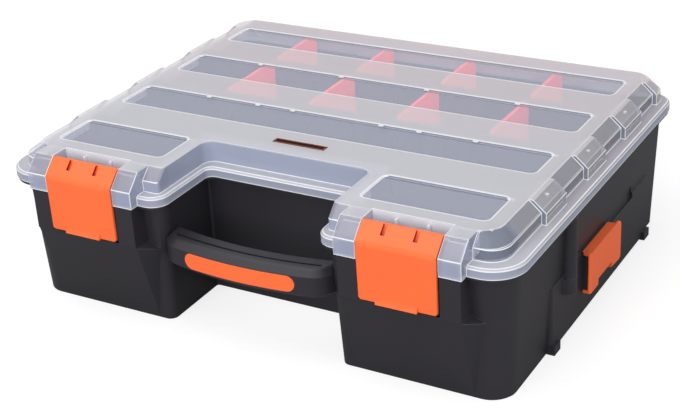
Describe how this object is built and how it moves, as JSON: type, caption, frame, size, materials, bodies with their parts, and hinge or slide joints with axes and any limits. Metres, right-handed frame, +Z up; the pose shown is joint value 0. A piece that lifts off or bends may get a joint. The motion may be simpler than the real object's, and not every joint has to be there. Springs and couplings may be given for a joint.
{
  "type": "workshop organizer case",
  "caption": "Flat organizer case with a clear hinged lid, front pods either side of a carry handle, over-centre latches, side link clips and removable dividers for small parts.",
  "frame": {"origin": "on the floor plane under the middle of the case's bounding box", "axes": "+X to the right along the case's width, +Y from the latches back to the hinge, +Z up"},
  "size_m": [0.4234, 0.346, 0.1247],
  "materials": {
    "black_plastic": "moulded black polypropylene, fine satin grain",
    "clear_plastic": "clear polypropylene, frosted bars, polished windows",
    "orange_plastic": "moulded orange polypropylene, satin",
    "divider_plastic": "moulded orange-red polypropylene, thin and slightly clear",
    "label_finish": "dark plate with a thin copper border, bare",
    "steel": "drawn wire pin"
  },
  "bodies": {
    "base": {"base_shell": "black_plastic", "rear_row_wall": "black_plastic", "middle_row_wall": "black_plastic", "front_wall_left": "black_plastic", "front_wall_right": "black_plastic", "carry_handle": "black_plastic", "handle_inlay": "orange_plastic", "clip_pin_left": "steel", "clip_pin_right": "steel", "hinge_pin_left": "steel", "hinge_pin_right": "steel", "rear_divider_1": "divider_plastic", "rear_divider_2": "divider_plastic", "rear_divider_3": "divider_plastic", "rear_divider_4": "divider_plastic", "middle_divider_1": "divider_plastic", "middle_divider_2": "divider_plastic", "middle_divider_3": "divider_plastic", "middle_divider_4": "divider_plastic"},
    "lid": {"lid_shell": "clear_plastic", "label_plate": "label_finish", "latch_pin_left": "steel", "latch_pin_right": "steel"},
    "latch_left": {"latch_left": "orange_plastic"},
    "latch_right": {"latch_right": "orange_plastic"},
    "side_clip_left": {"side_clip_left": "orange_plastic"},
    "side_clip_right": {"side_clip_right": "orange_plastic"}
  },
  "joints": [
    {"name": "lid_hinge", "type": "hinge", "parent": "base", "child": "lid", "pos_m": [0, 0.1685, 0.101], "axis": [-1, 0, 0], "range_deg": [0, 110]},
    {"name": "latch_left_pivot", "type": "hinge", "parent": "lid", "child": "latch_left", "pos_m": [-0.1305, -0.1565, 0.1202], "axis": [-1, 0, 0], "range_deg": [0, 100]},
    {"name": "side_clip_left_pivot", "type": "hinge", "parent": "base", "child": "side_clip_left", "pos_m": [-0.2061, -0.0212, 0.0385], "axis": [0, 0, 1], "range_deg": [0, 90]},
    {"name": "latch_right_pivot", "type": "hinge", "parent": "lid", "child": "latch_right", "pos_m": [0.1305, -0.1565, 0.1202], "axis": [-1, 0, 0], "range_deg": [0, 100]},
    {"name": "side_clip_right_pivot", "type": "hinge", "parent": "base", "child": "side_clip_right", "pos_m": [0.2061, -0.0212, 0.0385], "axis": [0, 0, -1], "range_deg": [0, 90]}
  ]
}
